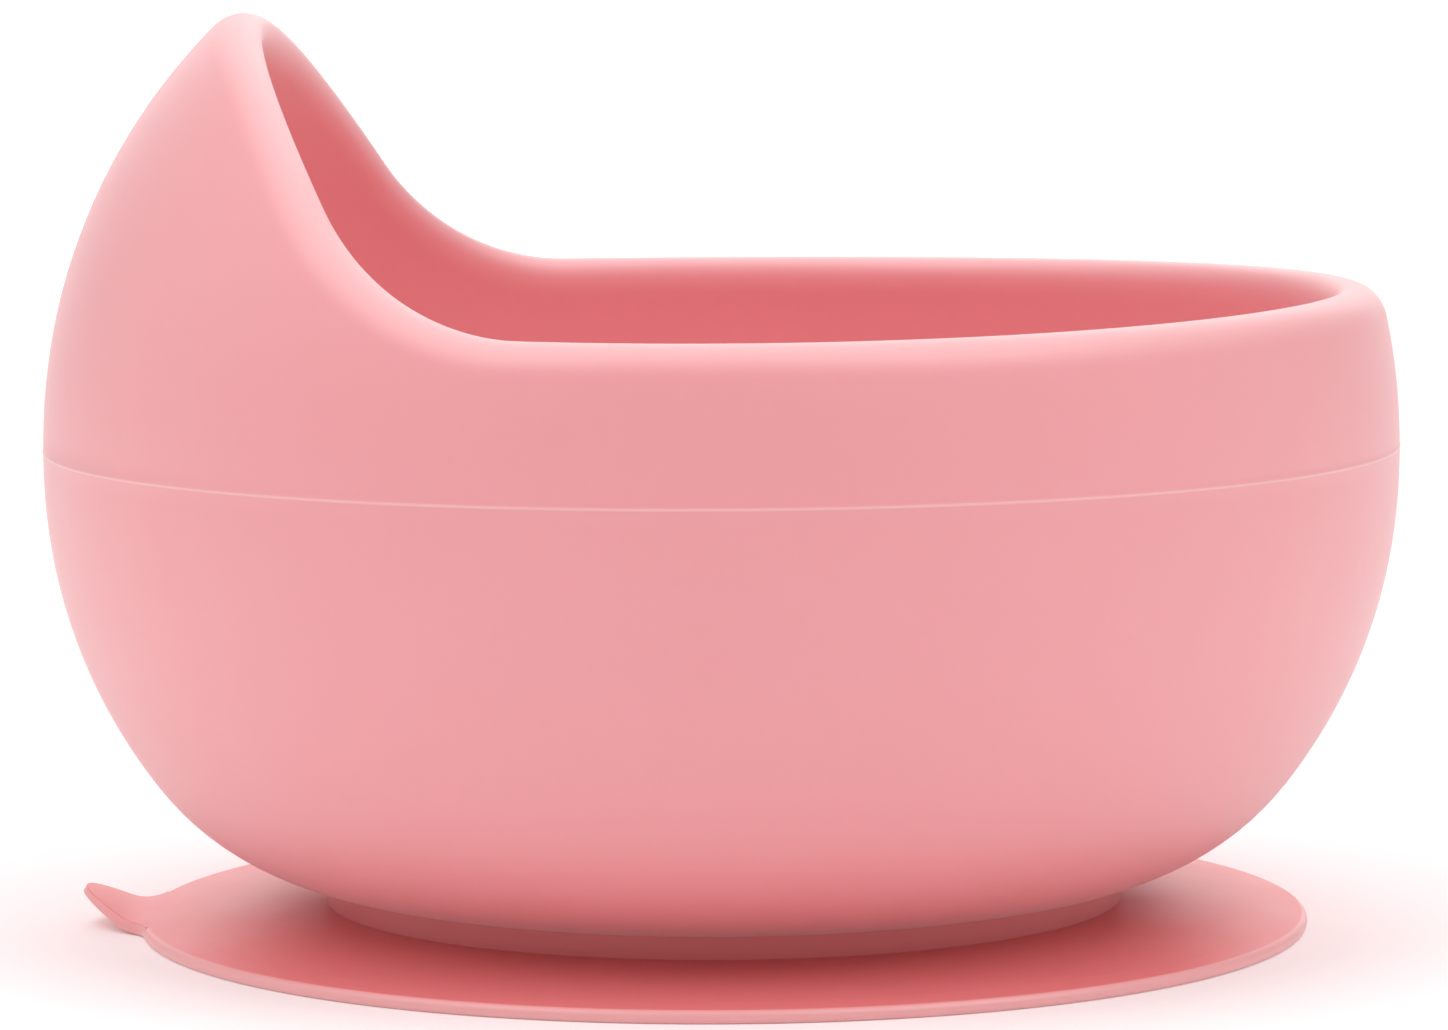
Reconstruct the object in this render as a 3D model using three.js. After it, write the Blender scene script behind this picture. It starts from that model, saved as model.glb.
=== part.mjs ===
// Silicone suction bowl for a small child: a round-bellied bowl whose rim sweeps up into a
// scoop wall on one side, standing on a wide suction cup with a pull tab.
// Millimetres, +Z up. The bowl's axis is the Z axis and the table is the plane z = 0.
// The scoop wall and the pull tab are on the -X side. The part is the same on both sides of
// the XZ plane.
import * as THREE from "three";

// ---- driving dimensions ----------------------------------------------------------------

// bowl shell, outside
const beltRadius = 62.5; // widest radius of the belly
const beltHeight = 44.4; // height of the widest section
const domeRise = 57; // how far the surface above the belt would rise if it closed over
const domeFullness = 2.07; // power of that curve: 2 is an ellipse, more is fuller
const bellyDrop = 53.3; // the same two below the belt, where it would close under
const bellyFullness = 2.1;
const hipHeight = 14.1; // where the belly turns under towards the neck
const bowlUnderside = 4.3; // flat underside of the bowl
const bowlWall = 4.6; // wall and floor, square to the surface
const lipCrest = 2.9; // from the outer surface in to the highest line of the lip
const lipRise = 3.3; // height of the lip's rounding, on both sides of that line

// mould parting line, a fine raised bead round the belly
const partingHeight = 44.8;
const beadWidth = 0.4;
const beadHeight = 0.08;

// rim, as it is cut in side view
const rimHeight = 58.35; // top of the lip across the middle of the bowl
const rimEndRise = 1.15; // how much the lip gains by the end opposite the scoop
const scoopInset = 46.3; // from the belt's edge in to where the rim starts to rise
const scoopArc = 19.5; // radius of the hollow curve that starts the rise
const scoopSlope = 60.8; // degrees, the straight flank above that curve
const crestInset = 21; // from the belt's edge in to where the flank starts to round over
const crestArc = 16.1; // radius of that rounding

// suction cup
const neckRadius = 37;
const seatLedge = 6.7; // from the neck's wall in to the spigot
const seatDepth = 1.6; // how far the spigot stands into the bowl's floor
const seatGap = 0.3; // left between the hub and the bowl
const cupRadius = 54.2; // edge of the cup
const lipWidth = 3.2; // sealing lip, measured along the radius
const lipHeight = 1.2;
const lipRound = 0.45; // radius on the lip's outer edges
const skirtThickness = 1.0;
const skirtHubTop = 2.6; // top of the skirt at the neck
const skirtLipTop = 1.45; // top of the skirt at the lip
const hubFootWidth = 4.5; // ring of the hub that the skirt grows from
const chamberDepth = 1.0; // from that ring up to the chamber's ceiling
const skirtGap = 0.3; // left between the skirt and the pieces on both sides of it

// pull tab, a blunt-pointed tongue
const tabWidth = 15.4;
const tabLength = 5.9;
const tabPoint = 1.5; // power of its outline: 1 is half an oval, more is more pointed
const tabThickness = 1.1;
const tabRound = 0.45; // radius on the tab's edges
const tabTilt = 29; // degrees above the table
const tabLift = 0.1; // left under the tab's lowest point
const tabGap = 0.3; // left between the tab and the sealing lip

// fineness of the facets
const turns = 72; // round the axis
const bellySteps = 5; // up the belly to the parting line
const domeSteps = 6; // from the parting line to the lip
const hipSteps = 4;
const neckSteps = 3; // across the hub's top, from the neck to the spigot
const lipSteps = 8; // over the lip
const innerSteps = 4; // inside wall below the belt
const tabSteps = 24; // round the tab's outline

const silicone = { color: 0xec9da2, roughness: 0.55, metalness: 0 };

// ---- helpers ---------------------------------------------------------------------------

const radians = THREE.MathUtils.degToRad;
const point = (radius, height) => new THREE.Vector2(radius, height);

/** Evenly spaced values, both ends included. */
function steps(from, to, count) {
  return Array.from({ length: count + 1 }, (_, i) => THREE.MathUtils.lerp(from, to, i / count));
}

/** A named sub-part with a material of its own. */
function subPart(name, geometry) {
  const mesh = new THREE.Mesh(geometry, new THREE.MeshStandardMaterial(silicone));
  mesh.name = name;
  return mesh;
}

/** A solid turned about +Z. sectionAt(side) gives its section, as points of radius and height,
 * where side is the sine of the angle from -Y: -1 at the scoop and +1 opposite it. Every
 * section has the same number of points. */
function turned(sectionAt) {
  const geometry = new THREE.LatheGeometry(sectionAt(0), turns);
  const position = geometry.attributes.position;
  for (let i = 0; i <= turns; i++) {
    const angle = (i / turns) * 2 * Math.PI;
    const section = sectionAt(Math.sin(angle));
    section.forEach((p, j) => {
      position.setXYZ(i * section.length + j, p.x * Math.sin(angle), p.y, p.x * Math.cos(angle));
    });
  }
  geometry.rotateX(Math.PI / 2);
  geometry.computeVertexNormals();
  return geometry;
}

// ---- bowl shell ------------------------------------------------------------------------

/** The belly's outer surface and its outward normal, at an angle above the belt. */
function belly(angle) {
  const [height, fullness] = angle < 0 ? [-bellyDrop, bellyFullness] : [domeRise, domeFullness];
  const out = Math.cos(angle);
  const up = Math.abs(Math.sin(angle));
  const power = 2 / fullness;
  return {
    place: point(beltRadius * out ** power, beltHeight + height * up ** power),
    normal: point(out ** (2 - power) / beltRadius, up ** (2 - power) / height).normalize(),
  };
}

/** The angle above the belt at which the belly's surface passes a height. */
function angleAt(height) {
  const above = height - beltHeight;
  if (above < 0) return -Math.asin((-above / bellyDrop) ** (bellyFullness / 2));
  return Math.asin((above / domeRise) ** (domeFullness / 2));
}

/** A point a given depth below the belly's outer surface. */
function inBelly(angle, depth) {
  const { place, normal } = belly(angle);
  return place.addScaledVector(normal, -depth);
}

/** Height of the rim's top in side view, at a distance x from the axis. */
function rimTop(x) {
  const start = scoopInset - beltRadius;
  const flank = crestInset - beltRadius;
  const slope = radians(scoopSlope);
  const base = rimHeight + rimEndRise * (Math.max(x, start) / beltRadius) ** 2;
  const along = start - x;
  if (along <= 0) return base;
  const arcLength = scoopArc * Math.sin(slope);
  if (along <= arcLength) return base + scoopArc - Math.sqrt(scoopArc ** 2 - along ** 2);
  const arcRise = scoopArc * (1 - Math.cos(slope));
  const flankLength = start - flank - arcLength;
  if (x >= flank) return base + arcRise + (along - arcLength) * Math.tan(slope);
  const toTop = Math.max(crestArc * Math.sin(slope) - (flank - x), 0);
  const crestRise = Math.sqrt(crestArc ** 2 - toTop ** 2) - crestArc * Math.cos(slope);
  return base + arcRise + flankLength * Math.tan(slope) + crestRise;
}

/** The angle above the belt at which the crest of the lip lies, on one side of the bowl. */
function lipAngle(side) {
  let low = 0;
  let high = Math.PI / 2;
  for (let i = 0; i < 40; i++) {
    const angle = (low + high) / 2;
    const crest = inBelly(angle, lipCrest);
    if (crest.y + lipRise < rimTop(crest.x * side)) low = angle;
    else high = angle;
  }
  return low;
}

const hipAngle = angleAt(hipHeight);
const hip = belly(hipAngle);
const hipRadius = (hipHeight - bowlUnderside) / (1 + hip.normal.y);
const hipCentre = hip.place.clone().addScaledVector(hip.normal, -hipRadius);
const hipTurn = Math.atan2(hip.normal.x, -hip.normal.y);
const spigotRadius = neckRadius - seatLedge;
const seatRadius = spigotRadius + seatGap;

/** Height of the bowl's underside at a radius: flat in the middle, then the curve to the belly. */
function underside(radius) {
  return hipCentre.y - Math.sqrt(hipRadius ** 2 - Math.max(radius - hipCentre.x, 0) ** 2);
}

/** The curve under the belly, at a depth below its surface and an angle from straight down. */
function inHip(turn, depth) {
  const radius = hipRadius - depth;
  return point(hipCentre.x + radius * Math.sin(turn), hipCentre.y - radius * Math.cos(turn));
}

function bowlSection(side) {
  const top = lipAngle(side);
  const lip = inBelly(top, lipCrest);
  const out = belly(top).normal;
  const up = point(-out.y, out.x);
  const overLip = (turn) => {
    const width = turn < Math.PI / 2 ? lipCrest : bowlWall - lipCrest;
    const place = lip.clone().addScaledVector(out, width * Math.cos(turn));
    return place.addScaledVector(up, lipRise * Math.sin(turn));
  };
  const underTurn = Math.asin(Math.max(seatRadius - hipCentre.x, 0) / hipRadius);
  return [
    point(0, bowlUnderside + seatDepth),
    point(seatRadius, bowlUnderside + seatDepth),
    point(seatRadius, underside(seatRadius)),
    ...steps(underTurn, hipTurn, hipSteps).map((turn) => inHip(turn, 0)),
    ...steps(hipAngle, angleAt(partingHeight - beadWidth / 2), bellySteps).slice(1)
      .map((a) => inBelly(a, 0)),
    inBelly(angleAt(partingHeight), -beadHeight),
    ...steps(angleAt(partingHeight + beadWidth / 2), top, domeSteps).map((a) => inBelly(a, 0)),
    ...steps(0, Math.PI, lipSteps).slice(1).map(overLip),
    ...steps(top, 0, domeSteps).slice(1).map((a) => inBelly(a, bowlWall)),
    ...steps(0, hipAngle, innerSteps).slice(1).map((a) => inBelly(a, bowlWall)),
    ...steps(hipTurn, 0, hipSteps).slice(1).map((turn) => inHip(turn, bowlWall)),
    point(0, bowlUnderside + bowlWall),
  ];
}

// ---- suction cup -----------------------------------------------------------------------

const skirtHubUnder = skirtHubTop - skirtThickness;
const lipInner = cupRadius - lipWidth;

/** Neck and hub: the plate that follows the bowl's underside, its spigot, and the ring round
 * the chamber. */
function hubSection() {
  const footInner = neckRadius - hubFootWidth;
  const ceiling = skirtHubUnder + chamberDepth;
  return [
    point(0, ceiling),
    point(footInner - chamberDepth, ceiling),
    point(footInner, skirtHubUnder),
    point(neckRadius, skirtHubUnder),
    ...steps(neckRadius, spigotRadius, neckSteps).map((r) => point(r, underside(r) - seatGap)),
    point(spigotRadius, bowlUnderside + seatDepth - seatGap),
    point(0, bowlUnderside + seatDepth - seatGap),
  ];
}

/** The thin web that flexes, from the neck out to the sealing lip. */
function skirtSection() {
  const inner = neckRadius + skirtGap;
  const outer = lipInner - skirtGap;
  return [
    point(inner, skirtHubUnder),
    point(outer, skirtLipTop - skirtThickness),
    point(outer, skirtLipTop),
    point(inner, skirtHubTop),
    point(inner, skirtHubUnder),
  ];
}

/** The ring that lies on the table: flat below, rounded on its outer edges. */
function lipSection() {
  const middle = cupRadius - lipRound;
  const corner = (height, from) => steps(from, from + Math.PI / 2, 3).map((a) =>
    point(middle + lipRound * Math.cos(a), height + lipRound * Math.sin(a)));
  return [
    point(lipInner, 0),
    ...corner(lipRound, -Math.PI / 2),
    ...corner(lipHeight - lipRound, 0),
    point(lipInner, lipHeight),
    point(lipInner, 0),
  ];
}

// ---- pull tab --------------------------------------------------------------------------

/** The tongue, laid flat with its root along local Y and its tip towards local +X. */
function tabGeometry() {
  const halfWidth = tabWidth / 2 - tabRound;
  const outline = new THREE.Shape(steps(-Math.PI / 2, Math.PI / 2, tabSteps).map((a) =>
    point((tabLength - tabRound) * Math.cos(a) ** tabPoint, halfWidth * Math.sin(a))));
  const geometry = new THREE.ExtrudeGeometry(outline, {
    depth: tabThickness - 2 * tabRound,
    bevelThickness: tabRound,
    bevelSize: tabRound,
    bevelSegments: 3,
  });
  geometry.translate(0, 0, tabRound - tabThickness / 2);
  return geometry;
}

// ---- assembly --------------------------------------------------------------------------

const bowl = new THREE.Group();
bowl.add(subPart("bowl_shell", turned(bowlSection)));
bowl.add(subPart("suction_hub", turned(hubSection)));

const cup = new THREE.Group();
cup.add(subPart("suction_skirt", turned(skirtSection)));
cup.add(subPart("sealing_lip", turned(lipSection)));

// the tab's root turns about the middle of its thickness, just outside the sealing lip
const tab = subPart("pull_tab", tabGeometry());
const tabRootRadius = cupRadius + tabGap + tabThickness / 2;
tab.rotation.set(0, radians(-tabTilt), Math.PI, "ZYX");
tab.position.set(-tabRootRadius, 0, tabLift + tabThickness / 2);

const suctionBowl = new THREE.Group();
suctionBowl.name = "suction_bowl";
suctionBowl.add(bowl, cup, tab);

export default suctionBowl;
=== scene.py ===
"""Silicone suction bowl for a small child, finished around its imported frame.

Metres, +Z up, the table at z = 0. The bowl's axis is the Z axis; the scoop wall and the pull
tab are on the -X side. Sizes below are written in millimetres.
"""
from math import asin, atan2, cos, hypot, pi, radians, sin, sqrt, tan

import bpy
from mathutils import Matrix, Vector


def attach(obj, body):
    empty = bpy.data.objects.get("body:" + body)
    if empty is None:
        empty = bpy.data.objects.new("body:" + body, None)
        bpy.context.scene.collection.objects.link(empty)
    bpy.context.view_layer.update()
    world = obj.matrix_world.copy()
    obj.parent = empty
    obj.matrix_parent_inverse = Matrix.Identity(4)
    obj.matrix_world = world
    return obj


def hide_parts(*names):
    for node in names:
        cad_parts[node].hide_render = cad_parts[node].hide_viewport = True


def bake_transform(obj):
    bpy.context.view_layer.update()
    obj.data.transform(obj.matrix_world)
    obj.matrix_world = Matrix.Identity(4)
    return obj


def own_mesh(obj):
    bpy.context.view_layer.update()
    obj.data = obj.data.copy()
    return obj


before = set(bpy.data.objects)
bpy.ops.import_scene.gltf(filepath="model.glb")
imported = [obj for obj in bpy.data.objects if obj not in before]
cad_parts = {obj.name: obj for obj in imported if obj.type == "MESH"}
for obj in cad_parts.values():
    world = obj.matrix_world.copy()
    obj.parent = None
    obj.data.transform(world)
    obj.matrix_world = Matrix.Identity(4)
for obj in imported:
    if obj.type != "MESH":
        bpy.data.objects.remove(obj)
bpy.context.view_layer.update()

MM = 0.001

# ---- sizes, in millimetres ---------------------------------------------------------------

# bowl shell
BELT_RADIUS = 62.5
BELT_HEIGHT = 44.4
DOME_RISE, DOME_FULLNESS = 57, 2.07
BELLY_DROP, BELLY_FULLNESS = 53.3, 2.1
HIP_HEIGHT = 14.1
BOWL_UNDERSIDE = 4.3
BOWL_WALL = 4.6
LIP_CREST = 2.9  # from the outer surface in to the highest line of the lip
LIP_RISE = 3.3  # height of the lip's rounding, on both sides of that line
PARTING_HEIGHT = 44.8
BEAD_WIDTH = 0.34  # the fine raised line where the mould halves met
BEAD_HEIGHT = 0.06

# rim, as it is cut in side view
RIM_HEIGHT = 58.35
RIM_END_RISE = 1.15
SCOOP_INSET = 46.3
SCOOP_ARC = 19.5
SCOOP_SLOPE = radians(60.8)
CREST_INSET = 21
CREST_ARC = 16.1

# suction cup
NECK_RADIUS = 37
SPIGOT_RADIUS = 30.3
SPIGOT_DEPTH = 1.6
CUP_RADIUS = 54.2
LIP_WIDTH = 3.2
LIP_HEIGHT = 1.2
SKIRT_THICKNESS = 1.0
SKIRT_HUB_TOP = 2.6
SKIRT_LIP_TOP = 1.45
FOOT_INNER = 32.5
CEILING_INSET = 2.2  # from there in to where the chamber's ceiling starts to curve down
RING_INSET = 0.2  # from there out to where the ring's underside stops curving
CHAMBER_DEPTH = 1.0
CHAMBER_ROUND = 0.6  # radius of both those curves
NECK_FOOT_ROUND = 0.25
SEAT_GAP = 0.3  # between the spigot's side and its seat, out of sight
SEAL_CHAMFER = 0.1  # on the sealing lip's inner lower edge
SEAL_START = 0.4  # from that edge out to the first ring of the flat underside
SEAL_ROUND = 0.45  # radius on the cup's lower edge
CUP_EDGE_ROUND = 0.6  # radius on the cup's upper edge
LIP_TOP_INSET = 1.4  # from the cup's edge in to where its top starts to climb
EDGE_BAND = 0.5  # the cup's outermost band, drawn paler as a painted highlight, and not polished
SNUG = 0.05  # how far one moulding runs into its neighbour, so that no slit shows

# pull tab
TAB_WIDTH = 15.4
TAB_LENGTH = 6.1
TAB_POINT = 2.2  # power of its outline: 1 is half an oval, more is more pointed
TAB_THICKNESS = 1.1
TAB_EDGE = 0.5
TAB_TILT = radians(31)
TAB_MIDDLE = 0.65  # height of the middle of its thickness where it leaves the cup
TAB_LEAVE = radians(66)  # where round its outline the fillets begin
TAB_ROOT_HALF = 10.5  # half its width where the fillets land on the cup
TAB_ROOT_INSET = 0.1  # how far inside the cup's edge they land
FILLET_LEAVING, FILLET_LANDING = 1.9, 1.3  # how long each fillet holds its direction
TAB_INNER_CORNER = (-51.9, 10.2)  # hidden in the sealing lip
TAB_CUT_START = -53.8  # first of the cuts across it that let it bend
TAB_CUT_END = 0.6  # from the last cut to its tip
TAB_CREASE = -53.9  # where it starts to bend
TAB_BEND = 2.4  # length that bends
TAB_TAPER = 0.35  # share of its thickness lost at the tip

# painted highlight: how much paler the silicone is drawn where light catches it, 0 to 1
BEAD_HIGHLIGHT = 0.9
TAB_SIDE_HIGHLIGHT = 0.8
TAB_SIDE_SLOPE = 0.6  # faces of the tab whose normals climb less than this are its sides
LIP_HIGHLIGHT_FADE = 1.5  # how soon the lip's painted highlight fades away from its crest

# how finely the mouldings are turned
COLUMNS = 360
CUP_COLUMNS = 240
HALVINGS = 40  # steps of the search for the lip's angle


# ---- modelling helpers -------------------------------------------------------------------

def let_go():
    """Nothing is selected and nothing is active."""
    for obj in bpy.context.selected_objects:
        obj.select_set(False)
    bpy.context.view_layer.objects.active = None


def drawn_outline(name, points):
    """A chain of edges through the points, pulled out of one vertex. Points are in mm."""
    let_go()
    bpy.ops.mesh.primitive_plane_add(size=MM)
    obj = bpy.context.object
    obj.name = obj.data.name = name
    bpy.ops.object.mode_set(mode="EDIT")
    bpy.ops.mesh.select_all(action="SELECT")
    bpy.ops.mesh.merge(type="CENTER")
    bpy.ops.transform.translate(value=Vector(points[0]) * MM)
    for last, point in zip(points, points[1:]):
        step = (Vector(point) - Vector(last)) * MM
        bpy.ops.mesh.extrude_vertices_move(TRANSFORM_OT_translate={"value": step})
    return obj


def spun(name, section, columns):
    """A moulding turned about the bowl's axis from a section of (radius, height) points."""
    obj = drawn_outline(name, [(radius, 0, height) for radius, height in section])
    bpy.ops.mesh.select_all(action="SELECT")
    bpy.ops.mesh.spin(steps=columns, angle=2 * pi, center=(0, 0, 0), axis=(0, 0, 1))
    bpy.ops.mesh.select_all(action="SELECT")
    bpy.ops.mesh.remove_doubles(threshold=0.002 * MM)
    bpy.ops.mesh.normals_make_consistent(inside=False)
    bpy.ops.object.mode_set(mode="OBJECT")
    return obj


def smoothed(obj, angle=40):
    bpy.context.view_layer.objects.active = obj
    obj.select_set(True)
    bpy.ops.object.shade_smooth_by_angle(angle=radians(angle))
    let_go()


def paint_highlight(obj, share):
    """Marks how strong the painted highlight is at each vertex, 0 to 1, for its material to read."""
    layer = obj.data.attributes.new("painted_highlight", "FLOAT", "POINT")
    for vertex in obj.data.vertices:
        layer.data[vertex.index].value = share(vertex)


def spread(low, high, count):
    """Evenly spaced values, both ends included."""
    return [low + (high - low) * i / count for i in range(count + 1)]


def arc(centre, radius, start, end, count):
    """Points of a circular arc in a section, angles in degrees."""
    return [
        (centre[0] + radius * cos(radians(a)), centre[1] + radius * sin(radians(a)))
        for a in spread(start, end, count)
    ]


# ---- bowl shell --------------------------------------------------------------------------

def belly(angle):
    """Place and outward normal of the belly's surface, at an angle above the belt."""
    height, fullness = DOME_RISE, DOME_FULLNESS
    if angle < 0:
        height, fullness = -BELLY_DROP, BELLY_FULLNESS
    out, up, power = cos(angle), abs(sin(angle)), 2 / fullness
    place = Vector((BELT_RADIUS * out**power, BELT_HEIGHT + height * up**power))
    normal = Vector((out ** (2 - power) / BELT_RADIUS, up ** (2 - power) / height))
    return place, normal.normalized()


def angle_at(height):
    """The angle above the belt at which the belly's surface passes a height."""
    above = height - BELT_HEIGHT
    if above < 0:
        return -asin((-above / BELLY_DROP) ** (BELLY_FULLNESS / 2))
    return asin((above / DOME_RISE) ** (DOME_FULLNESS / 2))


def in_belly(angle, depth):
    """A point of the section a given depth below the belly's surface."""
    place, normal = belly(angle)
    return place - normal * depth


def rim_line(x, depth):
    """Height of the rim in side view, at x along the bowl, a given depth below its top."""
    start = SCOOP_INSET - BELT_RADIUS
    flank = CREST_INSET - BELT_RADIUS - depth * sin(SCOOP_SLOPE)
    hollow = SCOOP_ARC + depth
    crest = CREST_ARC - depth
    base = RIM_HEIGHT - depth + RIM_END_RISE * (max(x, start) / BELT_RADIUS) ** 2
    along = start - x
    if along <= 0:
        return base
    hollow_length = hollow * sin(SCOOP_SLOPE)
    if along <= hollow_length:
        return base + hollow - sqrt(hollow**2 - along**2)
    top_of_hollow = base + hollow * (1 - cos(SCOOP_SLOPE))
    if x >= flank:
        return top_of_hollow + (along - hollow_length) * tan(SCOOP_SLOPE)
    top_of_flank = top_of_hollow + (start - flank - hollow_length) * tan(SCOOP_SLOPE)
    to_top = max(crest * sin(SCOOP_SLOPE) - (flank - x), 0)
    return top_of_flank + sqrt(crest**2 - to_top**2) - crest * cos(SCOOP_SLOPE)


def lip_angle(turn):
    """The angle above the belt at which the crest of the lip lies, in one direction."""
    low, high = 0, pi / 2
    for _ in range(HALVINGS):
        angle = (low + high) / 2
        crest = in_belly(angle, LIP_CREST)
        if crest.y < rim_line(crest.x * cos(turn), LIP_RISE):
            low = angle
        else:
            high = angle
    return low


def turned_to(point, turn):
    """A section point or direction, turned about the bowl's axis."""
    return Vector((point[0] * cos(turn), point[0] * sin(turn), point[1]))


HIP_ANGLE = angle_at(HIP_HEIGHT)
hip_place, hip_normal = belly(HIP_ANGLE)
HIP_RADIUS = (HIP_HEIGHT - BOWL_UNDERSIDE) / (1 + hip_normal.y)
HIP_CENTRE = hip_place - hip_normal * HIP_RADIUS
HIP_TURN = atan2(hip_normal.x, -hip_normal.y)
SEAT_RADIUS = SPIGOT_RADIUS + SEAT_GAP
SEAT_CEILING = BOWL_UNDERSIDE + SPIGOT_DEPTH
FLOOR_HEIGHT = BOWL_UNDERSIDE + BOWL_WALL


def underside(radius):
    """Height of the bowl's underside: flat in the middle, then the curve to the belly."""
    past = max(radius - HIP_CENTRE.x, 0)
    return HIP_CENTRE.y - sqrt(HIP_RADIUS**2 - past**2)


def in_hip(turn, depth):
    """A point of the curve under the belly, by depth and by angle from straight down."""
    radius = HIP_RADIUS - depth
    return Vector((HIP_CENTRE.x + radius * sin(turn), HIP_CENTRE.y - radius * cos(turn)))


def shell_column(turn):
    """The shell's section in one direction, as points in space, from the middle of its
    underside round the lip to the middle of its floor. The lip is rounded square to the
    rim's path, broadly outside and tightly inside."""
    top = lip_angle(turn)
    parting = spread(PARTING_HEIGHT - BEAD_WIDTH / 2, PARTING_HEIGHT + BEAD_WIDTH / 2, 6)
    under = [
        (0, SEAT_CEILING),
        (SEAT_RADIUS, SEAT_CEILING),
        (SEAT_RADIUS, BOWL_UNDERSIDE),
        *[in_hip(a, 0) for a in spread(0, HIP_TURN, 16)],
        *[in_belly(a, 0) for a in spread(HIP_ANGLE, angle_at(parting[0]), 30)[1:-1]],
    ]
    over_bead = [
        in_belly(angle_at(height), -BEAD_HEIGHT * sin(pi * share))
        for height, share in zip(parting, spread(0, 1, 6))
    ]
    outer = [in_belly(a, 0) for a in spread(angle_at(parting[-1]), top, 24)[1:-1]]
    inner = [in_belly(a, BOWL_WALL) for a in spread(top, 0, 24)[1:]]
    inside = [
        *[in_belly(a, BOWL_WALL) for a in spread(0, HIP_ANGLE, 24)[1:]],
        *[in_hip(a, BOWL_WALL) for a in spread(HIP_TURN, 0, 14)[1:]],
        *[(r, FLOOR_HEIGHT) for r in spread(HIP_CENTRE.x, 0, 8)[1:]],
    ]

    def crest_of_lip(at):
        return turned_to(in_belly(lip_angle(at), LIP_CREST), at)

    nudge = 0.002
    along = crest_of_lip(turn + nudge) - crest_of_lip(turn - nudge)
    out = turned_to(belly(top)[1], turn)
    up = out.cross(along).normalized()
    centre = crest_of_lip(turn)
    lip = [
        centre
        + (LIP_CREST if a < pi / 2 else BOWL_WALL - LIP_CREST) * cos(a) * out
        + LIP_RISE * sin(a) * up
        for a in spread(0, pi, 20)
    ]
    return [
        [turned_to(p, turn) for p in under],
        [turned_to(p, turn) for p in over_bead],
        [turned_to(p, turn) for p in outer],
        lip,
        [turned_to(p, turn) for p in [*inner, *inside]],
    ]


def lip_highlight(a):
    """How strong the lip's painted highlight is at an angle round its section, from outside over its
    crest.
    """
    if a < pi / 2:
        return sin(a) ** LIP_HIGHLIGHT_FADE
    return max(cos(LIP_HIGHLIGHT_FADE * (a - pi / 2)), 0)


def bowl_shell():
    """Spun from the section square to the scoop, then each column's rim is slid up or down
    the belly to the rim's cut."""
    under, bead, outer, lip, inner = shell_column(pi / 2)
    section = [(hypot(p.x, p.y), p.z) for p in [*under, *bead, *outer, *lip, *inner]]
    # painted highlight: the parting bead and the lip round its crest are drawn paler, where light
    # catches them
    highlight_amount = [
        *[0] * len(under),
        *[BEAD_HIGHLIGHT * sin(pi * share) for share in spread(0, 1, len(bead) - 1)],
        *[0] * len(outer),
        *[lip_highlight(a) for a in spread(0, pi, len(lip) - 1)],
        *[0] * len(inner),
    ]
    obj = spun("silicone_bowl_shell", section, COLUMNS)
    place_in_section = {(round(r, 2), round(z, 2)): i for i, (r, z) in enumerate(section)}
    columns = {}
    rows = {}
    for vertex in obj.data.vertices:
        place = vertex.co / MM
        radius = hypot(place.x, place.y)
        row = place_in_section.get((round(radius, 2), round(place.z, 2)))
        if row is None:
            row = min(
                range(len(section)),
                key=lambda i: hypot(section[i][0] - radius, section[i][1] - place.z),
            )
        column = round(atan2(place.y, place.x) / (2 * pi) * COLUMNS) % COLUMNS
        if column not in columns:
            columns[column] = sum(shell_column(column / COLUMNS * 2 * pi), [])
        vertex.co = columns[column][row] * MM
        rows[vertex.index] = row
    paint_highlight(obj, lambda vertex: highlight_amount[rows[vertex.index]])
    smoothed(obj)
    return obj


# ---- suction cup -------------------------------------------------------------------------

def suction_hub():
    """Plate under the bowl with the ring round the chamber, and the neck above it."""
    under = SKIRT_HUB_TOP - SKIRT_THICKNESS
    ceiling = under + CHAMBER_DEPTH
    ceiling_edge = FOOT_INNER - CEILING_INSET
    section = [
        *[(r, ceiling) for r in spread(0, ceiling_edge, 6)],
        *arc((ceiling_edge, ceiling - CHAMBER_ROUND), CHAMBER_ROUND, 90, 30, 4)[1:],
        *arc((FOOT_INNER + RING_INSET, under + CHAMBER_ROUND), CHAMBER_ROUND, 210, 270, 4),
        *arc((NECK_RADIUS - NECK_FOOT_ROUND, under + NECK_FOOT_ROUND), NECK_FOOT_ROUND, 270, 360, 4),
        *[(NECK_RADIUS, z) for z in spread(SKIRT_HUB_TOP, underside(NECK_RADIUS), 4)],
        *[(r, underside(r) + SNUG) for r in spread(NECK_RADIUS, SPIGOT_RADIUS, 4)[1:]],
        (SPIGOT_RADIUS, SEAT_CEILING - SNUG),
        (0, SEAT_CEILING - SNUG),
    ]
    obj = spun("suction_hub_neck", section, CUP_COLUMNS)
    smoothed(obj)
    return obj


def suction_skirt():
    """The thin web from the neck out to the sealing lip."""
    inner = NECK_RADIUS - SNUG
    outer = CUP_RADIUS - LIP_WIDTH + SNUG
    under = SKIRT_HUB_TOP - SKIRT_THICKNESS
    under_lip = SKIRT_LIP_TOP - SKIRT_THICKNESS
    shares = spread(0, 1, 10)
    section = [
        *[(inner + (outer - inner) * s, under + (under_lip - under) * s) for s in shares],
        *[
            (outer + (inner - outer) * s, SKIRT_LIP_TOP + (SKIRT_HUB_TOP - SKIRT_LIP_TOP) * s)
            for s in shares
        ],
        (inner, under),
    ]
    obj = spun("suction_skirt_web", section, CUP_COLUMNS)
    smoothed(obj)
    return obj


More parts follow.
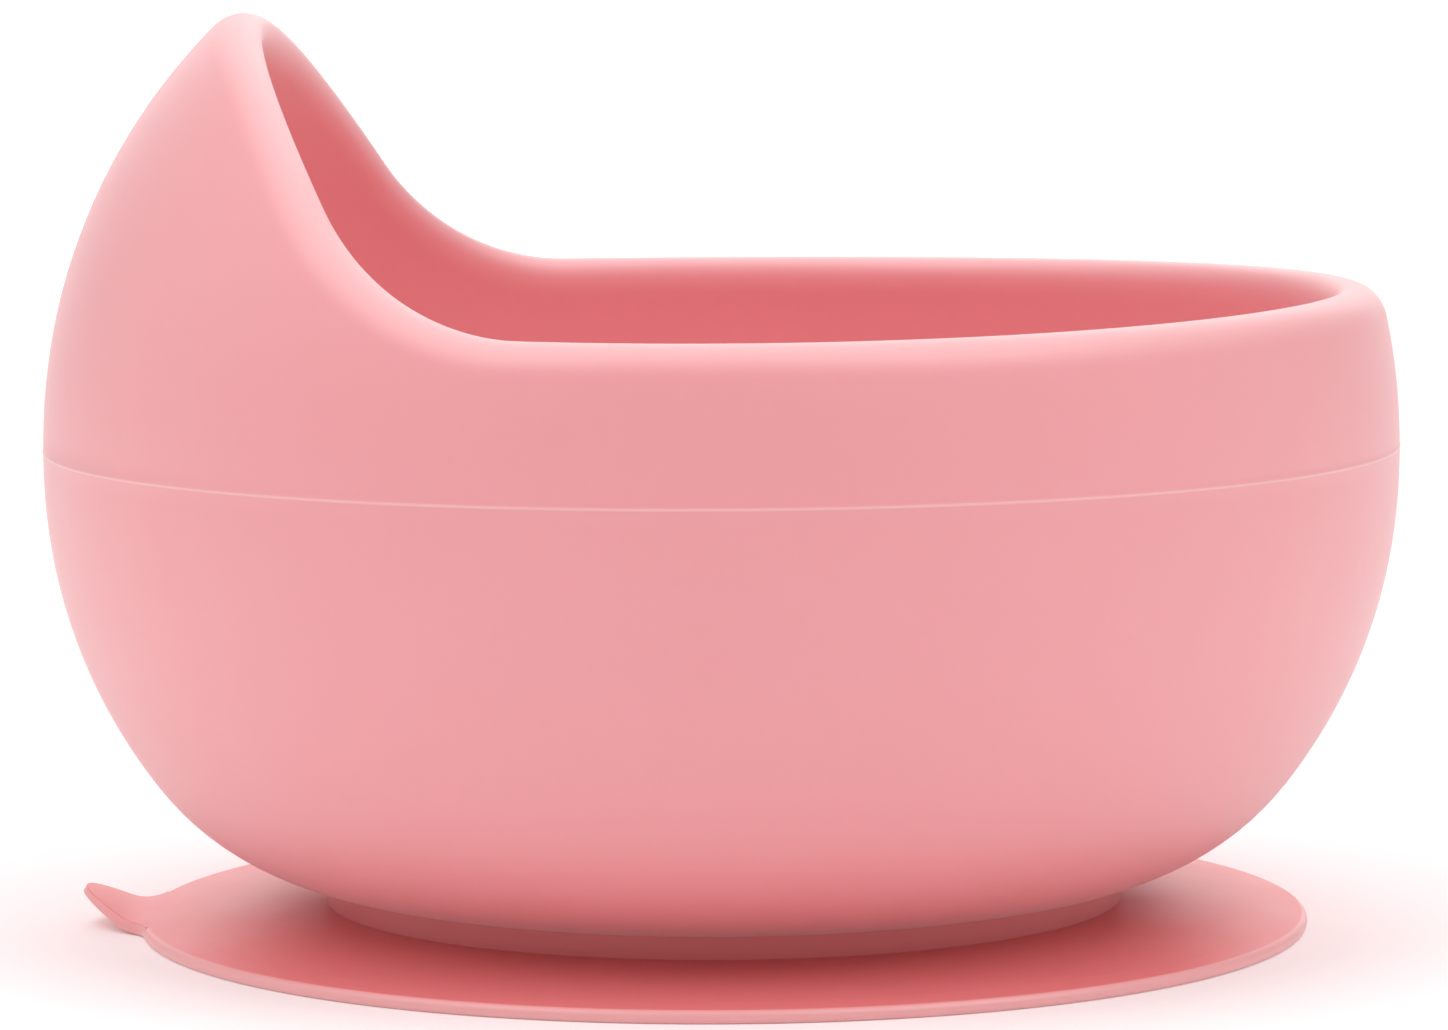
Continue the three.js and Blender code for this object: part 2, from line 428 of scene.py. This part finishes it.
def sealing_lip():
    """The ring that seals on the table, its top running on from the skirt."""
    inner = CUP_RADIUS - LIP_WIDTH
    climb = (1.24, 1.30, 1.37, SKIRT_LIP_TOP)  # heights of its top, inwards to the skirt
    section = [
        (inner, SEAL_CHAMFER),
        (inner + SEAL_CHAMFER, 0),
        *[(r, 0) for r in spread(inner + SEAL_START, CUP_RADIUS - SEAL_ROUND, 3)],
        *arc((CUP_RADIUS - SEAL_ROUND, SEAL_ROUND), SEAL_ROUND, 270, 360, 6)[1:],
        *arc((CUP_RADIUS - CUP_EDGE_ROUND, LIP_HEIGHT - CUP_EDGE_ROUND), CUP_EDGE_ROUND, 0, 84, 8),
        *zip(spread(CUP_RADIUS - LIP_TOP_INSET, inner, 3), climb),
        (inner, SEAL_CHAMFER),
    ]
    obj = spun("sealing_lip_ring", section, CUP_COLUMNS)
    # painted highlight: the cup's outermost band is drawn paler, where light catches its edge
    paint_highlight(obj, lambda vertex: hypot(*vertex.co.xy) / MM > CUP_RADIUS - EDGE_BAND)
    smoothed(obj)
    return obj


# ---- pull tab ----------------------------------------------------------------------------

def tab_outline():
    """The tab laid flat, from inside the lip out round its tip, in (x, y)."""
    half = TAB_WIDTH / 2
    side = [
        (-CUP_RADIUS - TAB_LENGTH * cos(a) ** TAB_POINT, half * sin(a))
        for a in spread(0, TAB_LEAVE, 22)
    ]
    start = Vector(side[-1])
    heading = (start - Vector(side[-2])).normalized()
    root = CUP_RADIUS - TAB_ROOT_INSET
    meet = asin(TAB_ROOT_HALF / root)
    end = Vector((-root * cos(meet), root * sin(meet)))
    landing = Vector((sin(meet), cos(meet)))
    first, second = start + heading * FILLET_LEAVING, end - landing * FILLET_LANDING
    fillet = [
        (1 - t) ** 3 * start
        + 3 * (1 - t) ** 2 * t * first
        + 3 * (1 - t) * t**2 * second
        + t**3 * end
        for t in spread(0, 1, 12)[1:]
    ]
    half_outline = [*side, *[tuple(p) for p in fillet], TAB_INNER_CORNER]
    mirrored = [(x, -y) for x, y in reversed(half_outline[1:])]
    return [*mirrored, *half_outline]


def pull_tab():
    """A tongue cut out flat, thickened, rounded on its edges, and bent up from the cup."""
    outline = tab_outline()
    under = TAB_MIDDLE - TAB_THICKNESS / 2
    obj = drawn_outline("pull_tab_tongue", [(x, y, under) for x, y in outline])
    bpy.ops.mesh.select_all(action="SELECT")
    bpy.ops.mesh.edge_face_add()
    bpy.ops.mesh.extrude_region_move(
        TRANSFORM_OT_translate={"value": (0, 0, TAB_THICKNESS * MM)}
    )
    bpy.ops.mesh.select_all(action="SELECT")
    bpy.ops.mesh.normals_make_consistent(inside=False)
    bpy.ops.object.mode_set(mode="OBJECT")
    for edge in obj.data.edges:
        a, b = (obj.data.vertices[i].co for i in edge.vertices)
        edge.select = abs(a.z - b.z) < 0.01 * MM
    for group in (obj.data.polygons, obj.data.vertices):
        for item in group:
            item.select = False
    bpy.ops.object.mode_set(mode="EDIT")
    bpy.ops.mesh.select_mode(type="EDGE")
    bpy.ops.mesh.bevel(offset=TAB_EDGE * MM, segments=5, affect="EDGES", clamp_overlap=True)
    for x in spread(TAB_CUT_START, -CUP_RADIUS - TAB_LENGTH + TAB_CUT_END, 18):
        bpy.ops.mesh.select_all(action="SELECT")
        bpy.ops.mesh.bisect(plane_co=(x * MM, 0, 0), plane_no=(1, 0, 0))
    bpy.ops.mesh.select_all(action="SELECT")
    bpy.ops.mesh.remove_doubles(threshold=0.005 * MM)
    bpy.ops.mesh.normals_make_consistent(inside=False)
    bpy.ops.object.mode_set(mode="OBJECT")

    # bent up over a short length at the cup's edge, and thinned towards its tip
    for vertex in obj.data.vertices:
        past = TAB_CREASE - vertex.co.x / MM
        if past <= 0:
            continue
        height = (vertex.co.z / MM - TAB_MIDDLE) * (1 - TAB_TAPER * min(past / TAB_LENGTH, 1))
        angle = TAB_TILT * min(past / TAB_BEND, 1)
        radius = TAB_BEND / TAB_TILT
        straight = max(past - TAB_BEND, 0)
        x = radius * sin(angle) + straight * cos(angle) - height * sin(angle)
        z = radius * (1 - cos(angle)) + straight * sin(angle) + height * cos(angle)
        vertex.co.x = (TAB_CREASE - x) * MM
        vertex.co.z = (TAB_MIDDLE + z) * MM
    # painted highlight: the tab's sides are drawn paler, where light catches its edge
    layer = obj.data.attributes.new("painted_highlight", "FLOAT", "FACE")
    for face in obj.data.polygons:
        side = abs(face.normal.z) < TAB_SIDE_SLOPE
        layer.data[face.index].value = TAB_SIDE_HIGHLIGHT if side else 0
    smoothed(obj)
    return obj


# ---- materials ---------------------------------------------------------------------------

def linear(code):
    """An sRGB hex colour as linear RGBA."""
    values = [int(code[i : i + 2], 16) / 255 for i in (1, 3, 5)]
    return (
        *[v / 12.92 if v <= 0.04045 else ((v + 0.055) / 1.055) ** 2.4 for v in values],
        1,
    )


def add_node(tree, kind, inputs=None, links=None, **settings):
    """A node with its settings, the values of its sockets, and what is linked to them."""
    node = tree.nodes.new(kind)
    for key, value in settings.items():
        setattr(node, key, value)
    for key, value in (inputs or {}).items():
        node.inputs[key].default_value = value
    for key, source in (links or {}).items():
        tree.links.new(source, node.inputs[key])
    return node


def new_material(name):
    material = bpy.data.materials.new(name)
    material.use_nodes = True
    material.node_tree.nodes.clear()
    return material, material.node_tree


def silicone(name, colour, deeper, roughness, grain, sheen):
    """Silicone rubber, moulded and pigmented all through. Light goes about a millimetre into
    it, and where light catches its edges a painted highlight draws it a little paler."""
    material, tree = new_material(name)
    place = add_node(tree, "ShaderNodeTexCoord").outputs["Object"]
    # two close colours in clouds about 30 mm across, barely visible
    clouds = add_node(
        tree, "ShaderNodeTexNoise", {"Scale": 33, "Detail": 2, "Roughness": 0.5}, {"Vector": place}
    )
    pigment = add_node(
        tree,
        "ShaderNodeMix",
        {"A": linear(colour), "B": linear(deeper)},
        {"Factor": clouds.outputs["Fac"]},
        data_type="RGBA",
    )
    # painted highlight: the parting bead, the lip's crest, the cup's outer edge and the tab's sides
    # are drawn paler where light catches them
    highlight_amount = add_node(tree, "ShaderNodeAttribute", attribute_name="painted_highlight")
    highlight_strength = add_node(
        tree,
        "ShaderNodeMapRange",
        {"From Min": 0, "From Max": 1, "To Min": 0, "To Max": 0.45},
        {"Value": highlight_amount.outputs["Fac"]},
    )
    coloured = add_node(
        tree,
        "ShaderNodeMix",
        {"B": linear("#FBD3D3")},
        {"Factor": highlight_strength.outputs[0], "A": pigment.outputs["Result"]},
        data_type="RGBA",
    )
    # a fine grain, drawn 0.3 mm across so that it shows at all
    fine = add_node(
        tree, "ShaderNodeTexNoise", {"Scale": 3300, "Detail": 1, "Roughness": 0.6}, {"Vector": place}
    )
    bump = add_node(
        tree,
        "ShaderNodeBump",
        {"Strength": grain, "Distance": 0.02 * MM},
        {"Height": fine.outputs["Fac"]},
    )
    # the satin is a little uneven
    worn = add_node(
        tree, "ShaderNodeTexNoise", {"Scale": 90, "Detail": 3, "Roughness": 0.55}, {"Vector": place}
    )
    satin = add_node(
        tree,
        "ShaderNodeMapRange",
        {"From Min": 0.3, "From Max": 0.7, "To Min": roughness - 0.03, "To Max": roughness + 0.03},
        {"Value": worn.outputs["Fac"]},
    )
    shader = add_node(
        tree,
        "ShaderNodeBsdfPrincipled",
        {
            "IOR": 1.5,
            "Specular IOR Level": 1.0,
            "Subsurface Weight": 0.15,
            "Subsurface Radius": (1.0, 0.45, 0.4),
            "Subsurface Scale": 1.2 * MM,
            "Sheen Weight": sheen,
            "Sheen Roughness": 0.5,
        },
        {
            "Base Color": coloured.outputs["Result"],
            "Roughness": satin.outputs[0],
            "Normal": bump.outputs["Normal"],
        },
    )
    add_node(tree, "ShaderNodeOutputMaterial", links={"Surface": shader.outputs["BSDF"]})
    return material


# ---- the pieces --------------------------------------------------------------------------

matte_silicone = silicone("matte_moulded_silicone", "#F19DA2", "#EF999E", 0.5, 0.3, 0.35)
# the cup, its neck and the tab are drawn a deeper pink: painted shade, as they lie in the bowl's
# shadow
painted_shade_silicone = silicone("moulded_silicone_painted_shade", "#EE8284", "#EC7E80", 0.45, 0.25, 0.12)
polished_silicone = silicone("polished_suction_face", "#EE8284", "#EC7E80", 0.22, 0.05, 0.05)

shell, hub, skirt, lip, tab = (
    bowl_shell(), suction_hub(), suction_skirt(), sealing_lip(), pull_tab()
)
for piece in (shell, hub, skirt, lip, tab):
    piece.data.materials.clear()
    piece.data.materials.append(matte_silicone if piece is shell else painted_shade_silicone)

# the face that grips the table is taken to be polished; it keeps the same deeper pink, painted shade
for piece in (hub, skirt, lip):
    piece.data.materials.append(polished_silicone)
    for face in piece.data.polygons:
        if face.normal.z < -0.5 and hypot(*face.center.xy) < (CUP_RADIUS - EDGE_BAND) * MM:
            face.material_index = 1

for piece, body, node in (
    (shell, "bowl", "bowl_shell"),
    (hub, "bowl", "suction_hub"),
    (skirt, "cup", "suction_skirt"),
    (lip, "cup", "sealing_lip"),
):
    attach(piece, body)
    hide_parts(node)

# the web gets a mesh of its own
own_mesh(skirt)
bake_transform(tab)
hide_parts("pull_tab")

# ---- floor, light and camera -------------------------------------------------------------

def white_paper(name, glow):
    """Matt white background paper; glow is what lamps behind it shine through."""
    material, tree = new_material(name)
    matt = add_node(
        tree,
        "ShaderNodeBsdfPrincipled",
        {
            "Base Color": (0.9, 0.9, 0.9, 1),
            "Roughness": 0.9,
            "Specular IOR Level": 0.2,
            "Emission Color": (1, 1, 1, 1),
            "Emission Strength": glow,
        },
    )
    add_node(tree, "ShaderNodeOutputMaterial", links={"Surface": matt.outputs["BSDF"]})
    return material


for name, size, place, tilt, glow in (
    ("studio_floor", 16, (0, 0, 0), 0, 0.12),
    ("studio_backdrop", 1.2, (0, 1.0, 0.6), radians(90), 0.7),
):
    let_go()
    bpy.ops.mesh.primitive_plane_add(size=size, location=place, rotation=(tilt, 0, 0))
    sheet = bpy.context.object
    sheet.name = name
    sheet.data.materials.append(white_paper(name + "_paper", glow))

world = bpy.data.worlds.new("light_tent")
world.use_nodes = True
world.node_tree.nodes.clear()
glow = add_node(world.node_tree, "ShaderNodeBackground", {"Color": (1, 1, 1, 1), "Strength": 0.34})
add_node(world.node_tree, "ShaderNodeOutputWorld", links={"Surface": glow.outputs[0]})
bpy.context.scene.world = world

# name, place, size across and high in metres, watts
LIGHTS = (
    ("top_softbox", (0.0, 0.1, 1.0), (1.2, 1.2), 4.4),
    ("top_left_softbox", (-0.6, -0.4, 0.9), (0.8, 0.8), 3.8),
    ("top_right_softbox", (0.6, -0.4, 0.9), (0.8, 0.8), 4.3),
    ("left_softbox", (-1.0, 0.1, 0.5), (0.9, 0.9), 1.2),
    ("right_softbox", (1.0, 0.1, 0.45), (0.9, 0.9), 0.6),
)
for name, place, size, power in LIGHTS:
    let_go()
    bpy.ops.object.light_add(type="AREA", location=place)
    lamp = bpy.context.object
    lamp.name = lamp.data.name = name
    lamp.data.shape = "RECTANGLE"
    lamp.data.size, lamp.data.size_y = size
    lamp.data.energy = power
    aim = Vector((0, 0, 0.04)) - Vector(place)
    lamp.rotation_euler = aim.to_track_quat("-Z", "Y").to_euler()

let_go()
bpy.ops.object.camera_add(location=(0.00695, -0.59265, 0.09873))
camera = bpy.context.object
turn, pitch, roll = radians(0.6527), radians(90 - 5.8519), radians(-0.3022)
look = (
    Matrix.Rotation(turn, 4, "Z") @ Matrix.Rotation(pitch, 4, "X") @ Matrix.Rotation(roll, 4, "Z")
)
camera.rotation_euler = look.to_euler()
camera.data.sensor_width = 36
camera.data.lens = 159.73
camera.data.clip_start, camera.data.clip_end = 0.01, 100
bpy.context.scene.camera = camera
bpy.context.scene.view_settings.view_transform = "Standard"
